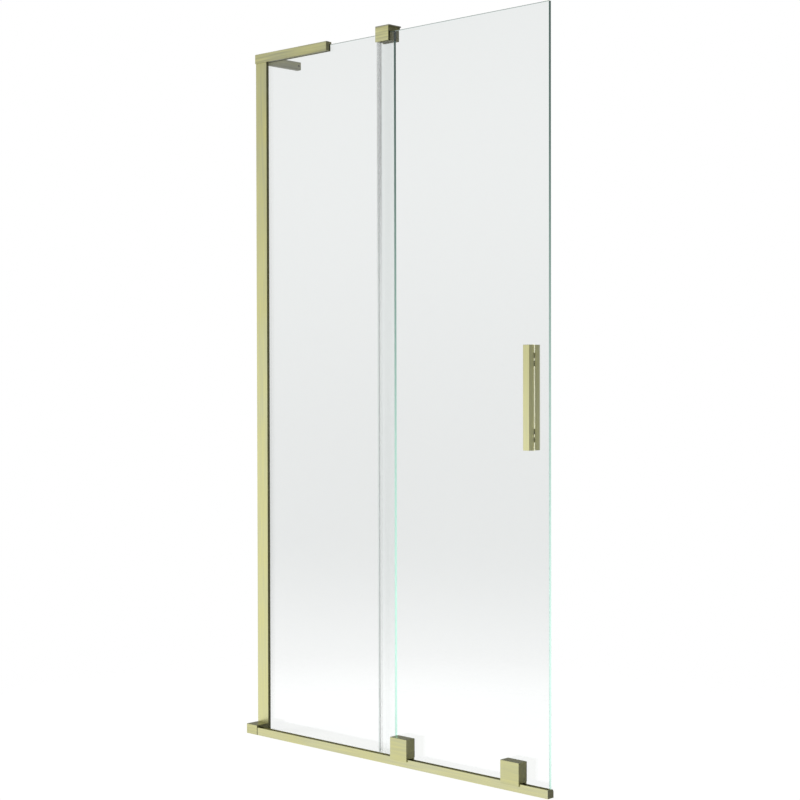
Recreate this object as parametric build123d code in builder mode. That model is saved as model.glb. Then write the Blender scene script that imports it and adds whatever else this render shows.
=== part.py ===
from build123d import *
import os

os.makedirs("parts", exist_ok=True)

# Sliding bath screen: a fixed pane in a wall profile and a second pane that rolls along a low rail.
# X runs from the wall along the bath rim, Y from the front face of the fixed pane to the back,
# Z up from the bath rim. All sizes are in millimetres.

# Overall sizes
screen_width = 850.0  # wall to the far end of the rail
screen_height = 1500.0  # bath rim to the top of the top bar
glass_thickness = 6.0
glass_arris = 0.5  # ground edge of both panes

# Clearances
slide_gap = 0.3  # metal beside metal that slides past it
glass_gap = 0.4  # glass beside the liner that guides it
seat_gap = 0.1  # a plug in its socket, a cover beside its neighbour
running_gap = 0.05  # radial, roller bush on its axle
thread_gap = 0.05  # radial, screw thread in its hole
shank_gap = 0.2  # radial, screw shank or sleeve in a plain hole
press_gap = 0.02  # radial, bush pressed into its roller
blind_gap = 0.5  # below a peg or a screw in its blind hole
overcut = 1.0  # how far a cut reaches past an open face

# Fixed pane
fixed_left = 15.0
fixed_right = 420.2
fixed_lift = 4.0  # bath rim to the glass, filled by its seal
fixed_drop = 6.5  # top of the top bar down to the glass
fixed_seal_height = 9.0
seal_wall = 1.0

# Sliding pane
pane_gap = 11.0  # fixed pane's front to sliding pane's back
pane_overlap = 34.2
rail_overhang = 14.5  # sliding pane's free edge to the end of the rail
sliding_lift = 6.0
sliding_drop = 9.0

# Wall profile
cover_width = 34.5
cover_reach = 7.3  # fixed pane's front to the cover's face
cover_wall = 1.5
channel_width = 24.0
channel_wall = 1.5
channel_base = 2.0
gasket_wall = 1.0
clip_depth = 2.7
clip_places = (6.0, 18.0)
wall_hole_radius = 2.75
wall_hole_heights = (100.0, 540.0, 940.0, 1380.0)
channel_drop = 1.0  # underside of the top bar down to the channel

# Top bar and the arm on the wall
bar_length = 226.8
bar_height = 20.0
bar_front = 8.8  # solid width in front of the glass gasket
bar_skin = 1.5
bar_lip = 1.0
bar_gasket_wall = 0.6
bar_gasket_top = 1.2
bar_gasket_inset = 2.0
end_plate = 1.5
arm_width = 12.5
arm_height = 17.5
arm_drop = 1.5  # top of the bar down to the top of the arm
arm_end = 120.0
arm_skin = 1.5
bracket_start = 1.0
bracket_in_bar = 12.0
bracket_in_arm = 32.0
bracket_hole_depth = 8.5
anchor_length = 44.0
anchor_hole_radius = 2.5
anchor_hole_spacing = 20.0
anchor_hole_shift = 5.0  # hole pair's middle off the anchor's middle
anchor_head_radius = 5.0
anchor_plate = 5.0  # metal under the heads of the wall screws
arm_screw_inset = 6.0  # end of the arm to the screw in its side
set_screw_radius = 2.5
set_screw_length = 6.0
set_screw_sink = 0.3  # below the face it is driven from
set_screw_socket = 1.5
set_screw_socket_depth = 2.0

# Guide block on the fixed pane's top corner
guide_length = 37.0
guide_height = 29.5
guide_above_glass = 10.0
guide_plate = 1.7  # metal in front of the sliding pane
guide_back = 7.8  # metal behind the fixed pane
liner_wall = 0.8
liner_headroom = 3.2
liner_inset = 0.5
pad_wall = 1.0
pad_inset = 1.0
guide_cap_height = 2.6
guide_cap_lip = 1.6
guide_peg_radius = 1.5
guide_peg_length = 3.0
guide_peg_inset = 4.0
guide_screw_spacing = 17.0

# Rail
rail_depth = 17.3
rail_height = 16.5
rail_floor = 2.0
rail_skin = 1.8
rail_round = 5.5
track_width = 8.0
track_depth = 2.5
track_wall = 2.2  # metal under the track
track_inset = 3.0  # rail front to the track
rear_slot_low = 5.0
rear_slot_height = 4.0
rear_slot_depth = 4.0
spigot_length = 16.0
end_block_width = 34.0
end_block_height = 21.0
end_block_joint = 0.8  # shadow line between the end block and the rail
rail_screw_radius = 2.0
rail_screw_head = 4.0
rail_screw_length = 9.0
stop_length = 10.0
stop_gap = 0.5
stop_bottom = 3.0
stop_top = 12.0
travel_margin = 2.0  # left between the pane's seal and the end block
handle_margin = 15.0  # left between the handle and the fixed pane

# Carriages
carriage_width = 45.8
carriage_top = 56.9
carriage_lap = 4.5  # front cover below the top of the rail
carriage_cover = 2.0
carriage_front_wall = 3.0
carriage_back_wall = 7.0
carriage_apron = 3.6
carriage_gasket = 2.0
apron_drop = 1.0  # rail's rear slot down to the end of the apron
first_carriage_inset = 79.9  # sliding pane's left edge to the carriage's middle
last_carriage_inset = 76.8  # sliding pane's right edge to the carriage's middle
roller_radius = 12.7
roller_side_gap = 0.3
roller_headroom = 1.3
roller_end_room = 3.3
roller_holes = 5
roller_hole_radius = 1.6
bush_radius = 5.0
axle_radius = 3.0
axle_head_radius = 4.5
axle_head_height = 1.8
axle_thread_radius = 2.5
axle_thread_length = 6.0
peg_radius = 1.5
peg_length = 2.4
peg_inset = 6.0
tongue_height = 3.2
clamp_height = 41.0
clamp_radius = 9.5
clamp_thickness = 5.0
clamp_pad = 1.0
clamp_bolt_radius = 4.0
clamp_head_radius = 6.5
clamp_head_height = 3.0
clamp_socket = 2.8
clamp_socket_depth = 2.4
clamp_glass_hole = 7.0
clamp_grip = 5.5  # thread in the carriage

# Handle
handle_width = 15.2
handle_depth = 14.0
handle_length = 200.0
handle_middle = 748.6
handle_inset = 44.3  # sliding pane's right edge to the handle's middle
handle_pitch = 144.0
handle_pad = 0.5
handle_pad_width = 13.0
handle_pad_length = 24.0
handle_glass_hole = 5.0
handle_screw_radius = 3.0
handle_head_radius = 4.9
handle_head_height = 5.0
handle_head_sink = 1.0
handle_socket = 2.4
handle_socket_depth = 3.0
handle_grip = 10.0  # thread in the front bar

# Seals on the sliding pane
edge_seal_wall = 1.0
edge_seal_reach = 8.0
edge_seal_fin_gap = 0.6
edge_seal_bottom = 13.0
bottom_seal_base = 3.0
bottom_fin = 1.0
bottom_fin_gap = 0.6
seal_end_gap = 1.0

# Small rounding of metal edges
edge_round = 0.5

# Places that follow from the sizes above
bar_top = screen_height
bar_bottom = bar_top - bar_height
fixed_top = bar_top - fixed_drop
sliding_top = bar_top - sliding_drop
fixed_back = glass_thickness
sliding_back = -pane_gap
sliding_front = sliding_back - glass_thickness
sliding_left = fixed_right - pane_overlap
sliding_right = screen_width - rail_overhang
carriage_back = sliding_front - carriage_gasket
rail_back = carriage_back - carriage_apron - slide_gap
rail_front = rail_back - rail_depth
carriage_front = rail_front - slide_gap
first_carriage = sliding_left + first_carriage_inset
last_carriage = sliding_right - last_carriage_inset
handle_x = sliding_right - handle_inset
seal_left = sliding_left - edge_seal_wall - seat_gap
travel = min(
    seal_left - end_block_width - travel_margin,
    handle_x - handle_width / 2 - fixed_right - handle_margin,
)


def span(x0, x1, y0, y1, mode=Mode.ADD):
    """Rectangle between two corners of the sketch plane."""
    with Locations(((x0 + x1) / 2, (y0 + y1) / 2)):
        Rectangle(x1 - x0, y1 - y0, mode=mode)


def disc(x, y, radius, mode=Mode.ADD):
    """Circle about a point of the sketch plane."""
    with Locations((x, y)):
        Circle(radius, mode=mode)


def upright(x):
    """Plane across X, sketched in Y and Z, extruding away from the wall."""
    return Plane.YZ.offset(x)


def facing(y):
    """Plane across Y, sketched in X and Z, extruding to the front."""
    return Plane.XZ.offset(-y)


def level(z):
    """Plane across Z, sketched in X and Y, extruding up."""
    return Plane.XY.offset(z)


def save(builder, name):
    """Name the piece and write its file."""
    builder.part.label = name
    export_step(builder.part, f"parts/{name}.step")


# Fixed pane and the seal it stands on
with BuildPart() as fixed_glass:
    with BuildSketch(facing(fixed_back)):
        span(fixed_left, fixed_right, fixed_lift, fixed_top)
    extrude(amount=glass_thickness)
    chamfer(fixed_glass.edges(), glass_arris)
save(fixed_glass, "fixed_glass")

fixed_seal_left = cover_width + seat_gap
with BuildPart() as fixed_seal:
    with BuildSketch(upright(fixed_seal_left)):
        span(-seal_wall, fixed_back + seal_wall, 0, fixed_seal_height)
        span(0, fixed_back, fixed_lift, fixed_seal_height, Mode.SUBTRACT)
    extrude(amount=fixed_right - fixed_seal_left)
save(fixed_seal, "fixed_glass_seal")

# Wall channel, its gaskets and the cover clipped over it
channel_front = -gasket_wall - channel_wall
channel_back = fixed_back + gasket_wall + channel_wall
channel_top = bar_bottom - channel_drop
with BuildPart() as wall_channel:
    with BuildSketch(level(0)):
        span(0, channel_base, channel_front, channel_back)
        span(0, channel_width, channel_front, channel_front + channel_wall)
        span(0, channel_width, channel_back - channel_wall, channel_back)
        for place in clip_places:
            span(place, place + channel_wall, channel_front - clip_depth, channel_front)
    extrude(amount=channel_top)
    for height in wall_hole_heights:
        with BuildSketch(upright(0)):
            disc(fixed_back / 2, height, wall_hole_radius)
        extrude(amount=channel_base, mode=Mode.SUBTRACT)
save(wall_channel, "wall_channel")

with BuildPart() as channel_gaskets:
    with BuildSketch(level(fixed_lift)):
        span(fixed_left, channel_width, -gasket_wall, 0)
        span(fixed_left, channel_width, fixed_back, fixed_back + gasket_wall)
    extrude(amount=channel_top - fixed_lift)
save(channel_gaskets, "channel_gaskets")

cover_inside = -cover_reach + cover_wall
with BuildPart() as wall_cover:
    with BuildSketch(level(0)) as cover_section:
        span(seat_gap, cover_width, -cover_reach, cover_inside)
        span(cover_width - cover_wall, cover_width, -cover_reach, -slide_gap)
        span(seat_gap, seat_gap + cover_wall, -cover_reach, channel_front - slide_gap)
        left_leg = clip_places[0] - seat_gap
        right_leg = clip_places[1] + channel_wall + seat_gap
        span(left_leg - cover_wall, left_leg, cover_inside, channel_front - slide_gap)
        span(right_leg, right_leg + cover_wall, cover_inside, channel_front - slide_gap)
        fillet(cover_section.vertices().group_by(Axis.Y)[0], edge_round)
    extrude(amount=bar_bottom)
save(wall_cover, "wall_cover")

# Top bar: a box section with a slot for the glass, pocketed for the bracket at the wall
bar_face = -bar_gasket_wall - bar_front
bar_back = fixed_back + bar_gasket_wall + bar_lip
slot_front = -bar_gasket_wall
slot_back = fixed_back + bar_gasket_wall
slot_top = fixed_top + bar_gasket_top
chamber_back = slot_front - bar_skin
arm_top = bar_top - arm_drop
arm_bottom = arm_top - arm_height
arm_inner_low = arm_bottom + arm_skin
arm_inner_high = arm_top - arm_skin
arm_inner_wide = arm_width - arm_skin
arm_middle_z = (arm_top + arm_bottom) / 2
arm_screw_y = arm_end - arm_screw_inset
bracket_screw_x = bracket_in_bar / 2
bracket_screw_y = (bar_face + slot_front) / 2
arm_bracket_screw_y = bar_back + bracket_in_arm / 2
with BuildPart() as top_bar:
    with BuildSketch(upright(0)) as bar_section:
        span(bar_face, bar_back, bar_bottom, bar_top)
        fillet(bar_section.vertices(), edge_round)
        span(bar_face + bar_skin, chamber_back, bar_bottom + bar_skin, bar_top - bar_skin, Mode.SUBTRACT)
        span(slot_front, slot_back, bar_bottom - overcut, slot_top, Mode.SUBTRACT)
    extrude(amount=bar_length - end_plate)
    with BuildSketch(upright(0)):
        span(bar_face + bar_skin, slot_back, bar_bottom + bar_skin, bar_top - bar_skin)
    extrude(amount=bracket_in_bar + blind_gap, mode=Mode.SUBTRACT)
    with BuildSketch(facing(bar_back)):
        span(0, arm_inner_wide, arm_inner_low, arm_inner_high)
    extrude(amount=bar_lip, mode=Mode.SUBTRACT)
    with BuildSketch(level(bar_bottom)):
        disc(bracket_screw_x, bracket_screw_y, set_screw_radius + thread_gap)
    extrude(amount=bar_skin, mode=Mode.SUBTRACT)
save(top_bar, "top_bar")

with BuildPart() as bar_end_cap:
    with BuildSketch(upright(bar_length - end_plate)) as cap_section:
        span(bar_face, slot_front, bar_bottom, bar_top)
        fillet(cap_section.vertices().group_by(Axis.X)[0], edge_round)
    extrude(amount=end_plate)
    with BuildSketch(upright(bar_length - end_plate - spigot_length)):
        span(
            bar_face + bar_skin + seat_gap,
            chamber_back - seat_gap,
            bar_bottom + bar_skin + seat_gap,
            bar_top - bar_skin - seat_gap,
        )
    extrude(amount=spigot_length)
save(bar_end_cap, "bar_end_cap")

with BuildPart() as bar_gasket:
    with BuildSketch(upright(fixed_left)):
        span(slot_front, slot_back, bar_bottom + bar_gasket_inset, slot_top)
        span(0, fixed_back, bar_bottom, fixed_top, Mode.SUBTRACT)
    extrude(amount=bar_length - end_plate - fixed_left)
save(bar_gasket, "bar_gasket")

# Bracket that joins bar and arm at the wall, locked from below
with BuildPart() as corner_bracket:
    with BuildSketch(level(bar_bottom + bar_skin + seat_gap)):
        span(bracket_start, bracket_in_bar, bar_face + bar_skin + seat_gap, slot_back - seat_gap)
    extrude(amount=bar_height - 2 * bar_skin - 2 * seat_gap)
    with BuildSketch(level(arm_inner_low + shank_gap)):
        span(bracket_start, arm_inner_wide - seat_gap, slot_front, bar_back + bracket_in_arm)
    extrude(amount=arm_inner_high - arm_inner_low - 2 * shank_gap)
    with BuildSketch(level(bar_bottom)):
        disc(bracket_screw_x, bracket_screw_y, set_screw_radius + thread_gap)
        disc(arm_width / 2, arm_bracket_screw_y, set_screw_radius + thread_gap)
    extrude(amount=bracket_hole_depth, mode=Mode.SUBTRACT)
save(corner_bracket, "corner_bracket")

with BuildPart() as wall_arm:
    with BuildSketch(facing(arm_end - end_plate)) as arm_section:
        span(0, arm_width, arm_bottom, arm_top)
        fillet(arm_section.vertices().group_by(Axis.X)[-1], edge_round)
        span(-overcut, arm_inner_wide, arm_inner_low, arm_inner_high, Mode.SUBTRACT)
    extrude(amount=arm_end - end_plate - bar_back)
    with BuildSketch(level(arm_bottom)):
        disc(arm_width / 2, arm_bracket_screw_y, set_screw_radius + thread_gap)
    extrude(amount=arm_skin, mode=Mode.SUBTRACT)
    with BuildSketch(upright(arm_inner_wide)):
        disc(arm_screw_y, arm_middle_z, set_screw_radius + thread_gap)
    extrude(amount=arm_skin, mode=Mode.SUBTRACT)
save(wall_arm, "wall_arm")

with BuildPart() as arm_end_cap:
    with BuildSketch(facing(arm_end)) as plate_section:
        span(0, arm_width, arm_bottom, arm_top)
        fillet(plate_section.vertices().group_by(Axis.X)[-1], edge_round)
    extrude(amount=end_plate)
save(arm_end_cap, "arm_end_cap")

# Anchor that is screwed to the wall; the arm slides over it and is locked by the visible screw
anchor_back = arm_end - end_plate - seat_gap
anchor_front = anchor_back - anchor_length
anchor_face = arm_inner_wide - shank_gap
anchor_hole_middle = anchor_front + anchor_length / 2 - anchor_hole_shift
with BuildPart() as arm_wall_anchor:
    with BuildSketch(facing(anchor_back)):
        span(0, anchor_face, arm_inner_low + shank_gap, arm_inner_high - shank_gap)
    extrude(amount=anchor_length)
    for side in (-0.5, 0.5):
        hole_y = anchor_hole_middle + side * anchor_hole_spacing
        with BuildSketch(upright(0)):
            disc(hole_y, arm_middle_z, anchor_hole_radius)
        extrude(amount=arm_width, mode=Mode.SUBTRACT)
        with BuildSketch(upright(anchor_plate)):
            disc(hole_y, arm_middle_z, anchor_head_radius)
        extrude(amount=arm_width, mode=Mode.SUBTRACT)
    with BuildSketch(upright(anchor_face - set_screw_length)):
        disc(arm_screw_y, arm_middle_z, set_screw_radius + thread_gap)
    extrude(amount=set_screw_length, mode=Mode.SUBTRACT)
save(arm_wall_anchor, "arm_wall_anchor")


def set_screw(plane, x, y, length=set_screw_length):
    """Headless screw that starts at a plane, where its socket is."""
    with BuildSketch(plane) as shank:
        disc(x, y, set_screw_radius)
    with BuildSketch(plane) as socket:
        with Locations((x, y)):
            RegularPolygon(set_screw_socket, 6)
    extrude(shank.sketch, amount=length)
    extrude(socket.sketch, amount=set_screw_socket_depth, mode=Mode.SUBTRACT)


with BuildPart() as corner_set_screws:
    set_screw(level(bar_bottom + set_screw_sink), bracket_screw_x, bracket_screw_y)
    set_screw(level(arm_bottom + set_screw_sink), arm_width / 2, arm_bracket_screw_y)
save(corner_set_screws, "corner_set_screws")

with BuildPart() as arm_set_screw:
    outside = Plane((arm_width - set_screw_sink, 0, 0), x_dir=(0, -1, 0), z_dir=(-1, 0, 0))
    set_screw(outside, -arm_screw_y, arm_middle_z)
save(arm_set_screw, "arm_set_screw")

# Guide block: slots for both panes, a liner for the sliding one, pads and screws for the fixed one
guide_left = fixed_right - guide_length
guide_top = fixed_top + guide_above_glass
guide_bottom = guide_top - guide_height
liner_front = sliding_front - glass_gap - liner_wall
liner_back = sliding_back + glass_gap + liner_wall
liner_top = sliding_top + liner_headroom + liner_wall
guide_front = liner_front - guide_plate
guide_rear = fixed_back + pad_wall + guide_back
guide_middle = (guide_left + fixed_right) / 2
guide_screw_places = (guide_middle - guide_screw_spacing / 2, guide_middle + guide_screw_spacing / 2)
guide_screw_z = (guide_bottom + fixed_top) / 2
with BuildPart() as guide_body:
    with BuildSketch(upright(guide_left)) as guide_section:
        span(guide_front, guide_rear, guide_bottom, guide_top)
        fillet(guide_section.vertices().group_by(Axis.Y)[0], edge_round)
        span(liner_front, liner_back, guide_bottom - overcut, liner_top, Mode.SUBTRACT)
        span(-pad_wall, fixed_back + pad_wall, guide_bottom - overcut, fixed_top + pad_wall, Mode.SUBTRACT)
    extrude(amount=guide_length)
    with BuildSketch(facing(guide_rear)):
        for x in guide_screw_places:
            disc(x, guide_screw_z, set_screw_radius + thread_gap)
    extrude(amount=guide_back, mode=Mode.SUBTRACT)
    with BuildSketch(level(guide_top - guide_peg_length - blind_gap)):
        for x in guide_screw_places:
            disc(x, guide_rear - guide_peg_inset, guide_peg_radius + seat_gap)
    extrude(amount=guide_peg_length + blind_gap, mode=Mode.SUBTRACT)
save(guide_body, "guide_body")

with BuildPart() as guide_cap:
    with BuildSketch(level(guide_top)):
        span(guide_left, fixed_right + guide_cap_lip, guide_front, guide_rear + guide_cap_lip)
    extrude(amount=guide_cap_height)
    chamfer(guide_cap.edges().group_by(Axis.Z)[-1], edge_round)
    with BuildSketch(level(guide_top - guide_peg_length)):
        for x in guide_screw_places:
            disc(x, guide_rear - guide_peg_inset, guide_peg_radius)
    extrude(amount=guide_peg_length)
save(guide_cap, "guide_cap")

with BuildPart() as guide_liner:
    with BuildSketch(upright(guide_left + liner_inset)):
        span(liner_front, liner_back, guide_bottom + liner_inset, liner_top)
        span(
            liner_front + liner_wall,
            liner_back - liner_wall,
            guide_bottom,
            liner_top - liner_wall,
            Mode.SUBTRACT,
        )
    extrude(amount=guide_length - 2 * liner_inset)
save(guide_liner, "guide_liner")

with BuildPart() as guide_pads:
    with BuildSketch(upright(guide_left + pad_inset)):
        span(-pad_wall, 0, guide_bottom + pad_inset, fixed_top)
        span(fixed_back, fixed_back + pad_wall, guide_bottom + pad_inset, fixed_top)
    extrude(amount=guide_length - 2 * pad_inset)
save(guide_pads, "guide_pads")

with BuildPart() as guide_screws:
    for x in guide_screw_places:
        set_screw(facing(guide_rear - set_screw_sink), x, guide_screw_z, guide_back - set_screw_sink)
save(guide_screws, "guide_screws")

# Rail: closed chamber below, track on top, slot at the back for the carriages' tongues
track_front = rail_front + track_inset
track_back = track_front + track_width
track_floor = rail_height - track_depth
chamber_low = rail_floor
chamber_high = track_floor - track_wall
chamber_front = rail_front + rail_skin
chamber_rear = rail_back - rear_slot_depth - rail_skin
rail_screw_y = (chamber_front + chamber_rear) / 2
rail_left = end_block_width + end_block_joint
rail_right = screen_width - end_plate
rail_screw_places = (end_block_width + spigot_length / 2, rail_right - spigot_length / 2)


def rounded_rail(sketch):
    """Fill the outer shape of the rail into a sketch, rounded at the top of its back."""
    span(rail_front, rail_back, 0, rail_height)
    fillet(sketch.vertices().group_by(Axis.Y)[-1].sort_by(Axis.X)[-1], rail_round)


def turned(x, z, points):
    """Body of revolution about a line along Y, from (y, radius) corners."""
    with BuildSketch(Plane((x, 0, z), x_dir=(0, 1, 0), z_dir=(1, 0, 0))) as half:
        with BuildLine():
            Polyline(*points, close=True)
        make_face()
    revolve(half.sketch, axis=Axis((x, 0, z), (0, 1, 0)))


def ring(x, z, y0, y1, inner, outer):
    """Plain ring or disc about a line along Y."""
    turned(x, z, [(y0, inner), (y0, outer), (y1, outer), (y1, inner)])


with BuildPart() as rail:
    with BuildSketch(upright(rail_left)) as rail_section:
        rounded_rail(rail_section)
        span(track_front, track_back, track_floor, rail_height, Mode.SUBTRACT)
        span(chamber_front, chamber_rear, chamber_low, chamber_high, Mode.SUBTRACT)
        span(
            rail_back - rear_slot_depth,
            rail_back,
            rear_slot_low,
            rear_slot_low + rear_slot_height,
            Mode.SUBTRACT,
        )
    extrude(amount=rail_right - rail_left)
    for place in rail_screw_places:
        with Locations(Plane((place, rail_screw_y, 0), x_dir=(1, 0, 0), z_dir=(0, 0, -1))):
            CounterSinkHole(rail_screw_radius + seat_gap, rail_screw_head, rail_floor + seat_gap, 90)
save(rail, "rail")

with BuildPart() as rail_end_block:
    with BuildSketch(level(0)) as block_section:
        span(0, end_block_width, rail_front, -cover_reach - seat_gap)
        fillet(block_section.vertices().group_by(Axis.Y)[0], edge_round)
    extrude(amount=end_block_height)
    fillet(rail_end_block.edges().group_by(Axis.Z)[-1].group_by(Axis.Y)[0], edge_round)
    with BuildSketch(upright(end_block_width)):
        span(
            chamber_front + seat_gap,
            chamber_rear - seat_gap,
            chamber_low + seat_gap,
            chamber_high - seat_gap,
        )
    extrude(amount=spigot_length)
    with BuildSketch(level(chamber_low)):
        disc(rail_screw_places[0], rail_screw_y, rail_screw_radius + thread_gap)
    extrude(amount=rail_screw_length, mode=Mode.SUBTRACT)
save(rail_end_block, "rail_end_block")

with BuildPart() as rail_end_cap:
    with BuildSketch(upright(rail_right)) as end_section:
        rounded_rail(end_section)
    extrude(amount=end_plate)
    with BuildSketch(upright(rail_right - spigot_length)):
        span(
            chamber_front + seat_gap,
            chamber_rear - seat_gap,
            chamber_low + seat_gap,
            chamber_high - seat_gap,
        )
    extrude(amount=spigot_length)
    with BuildSketch(level(chamber_low)):
        disc(rail_screw_places[1], rail_screw_y, rail_screw_radius + thread_gap)
    extrude(amount=rail_screw_length, mode=Mode.SUBTRACT)
save(rail_end_cap, "rail_end_cap")

with BuildPart() as rail_screws:
    for place in rail_screw_places:
        with BuildSketch(Plane((place, rail_screw_y, 0), x_dir=(1, 0, 0), z_dir=(0, -1, 0))):
            with BuildLine():
                Polyline(
                    (0, set_screw_sink),
                    (rail_screw_head - set_screw_sink - seat_gap, set_screw_sink),
                    (rail_screw_radius, rail_screw_head - rail_screw_radius),
                    (rail_screw_radius, rail_screw_length),
                    (0, rail_screw_length),
                    close=True,
                )
            make_face()
        revolve(axis=Axis((place, rail_screw_y, 0), (0, 0, 1)))
save(rail_screws, "rail_screws")

# Stops in the back of the rail, met by the carriages' aprons
half_carriage = carriage_width / 2
last_stop = last_carriage + half_carriage + stop_gap
first_stop = first_carriage - half_carriage - travel - stop_gap - stop_length
slot_floor = rail_back - rear_slot_depth
slot_high = rear_slot_low + rear_slot_height
with BuildPart() as rail_stops:
    for place in (first_stop, last_stop):
        with BuildSketch(upright(place)):
            span(slot_floor + seat_gap, rail_back, rear_slot_low + seat_gap, slot_high - seat_gap)
            span(rail_back, carriage_back - shank_gap, stop_bottom, stop_top)
        extrude(amount=stop_length)
save(rail_stops, "rail_stops")

# Sliding pane and its seals
carriages = {"left": first_carriage, "right": last_carriage}
handle_heights = (handle_middle - handle_pitch / 2, handle_middle + handle_pitch / 2)
with BuildPart() as sliding_glass:
    with BuildSketch(facing(sliding_back)):
        span(sliding_left, sliding_right, sliding_lift, sliding_top)
    extrude(amount=glass_thickness)
    chamfer(sliding_glass.edges(), glass_arris)
    with BuildSketch(facing(sliding_back)):
        for x in carriages.values():
            disc(x, clamp_height, clamp_glass_hole)
        for z in handle_heights:
            disc(handle_x, z, handle_glass_hole)
    extrude(amount=glass_thickness, mode=Mode.SUBTRACT)
save(sliding_glass, "sliding_glass")

seal_front = sliding_front - edge_seal_wall
seal_back = sliding_back + edge_seal_wall
with BuildPart() as edge_seal:
    with BuildSketch(level(edge_seal_bottom)):
        span(seal_left, sliding_left + edge_seal_reach, seal_front, seal_back)
        span(
            sliding_left - seat_gap,
            sliding_left + edge_seal_reach,
            sliding_front,
            sliding_back,
            Mode.SUBTRACT,
        )
        span(seal_left, seal_left + edge_seal_wall, seal_back, -edge_seal_fin_gap)
    extrude(amount=guide_bottom - seal_end_gap - edge_seal_bottom)
save(edge_seal, "edge_seal")

pane_middle = (sliding_front + sliding_back) / 2
bottom_seal_top = edge_seal_bottom - seal_end_gap
with BuildPart() as sliding_seal:
    with BuildSketch(upright(sliding_left + seal_end_gap)):
        span(seal_front, seal_back, sliding_lift - bottom_seal_base, bottom_seal_top)
        span(sliding_front, sliding_back, sliding_lift, bottom_seal_top, Mode.SUBTRACT)
        span(
            pane_middle - bottom_fin / 2,
            pane_middle + bottom_fin / 2,
            bottom_fin_gap,
            sliding_lift - bottom_seal_base,
        )
    extrude(amount=sliding_right - sliding_left - 2 * seal_end_gap)
save(sliding_seal, "sliding_glass_seal")

# Carriages with their rollers
cavity_front = carriage_front + carriage_front_wall
cavity_back = carriage_back - carriage_back_wall
apron_front = carriage_back - carriage_apron
body_bottom = rail_height + stop_gap
roller_z = track_floor + slide_gap + roller_radius
cavity_top = roller_z + roller_radius + roller_headroom
cavity_half = roller_radius + roller_end_room
peg_offset = (half_carriage + cavity_half) / 2
roller_front = track_front + roller_side_gap
roller_back = track_back - roller_side_gap
peg_heights = (body_bottom + peg_inset, carriage_top - peg_inset)
apron_bottom = rear_slot_low - apron_drop
tongue_middle = (rear_slot_low + slot_high) / 2


def peg_pattern(x, radius):
    """Four pegs, or their holes, in the carriage's two ends."""
    for side in (-1, 1):
        for z in peg_heights:
            disc(x + side * peg_offset, z, radius)


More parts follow.
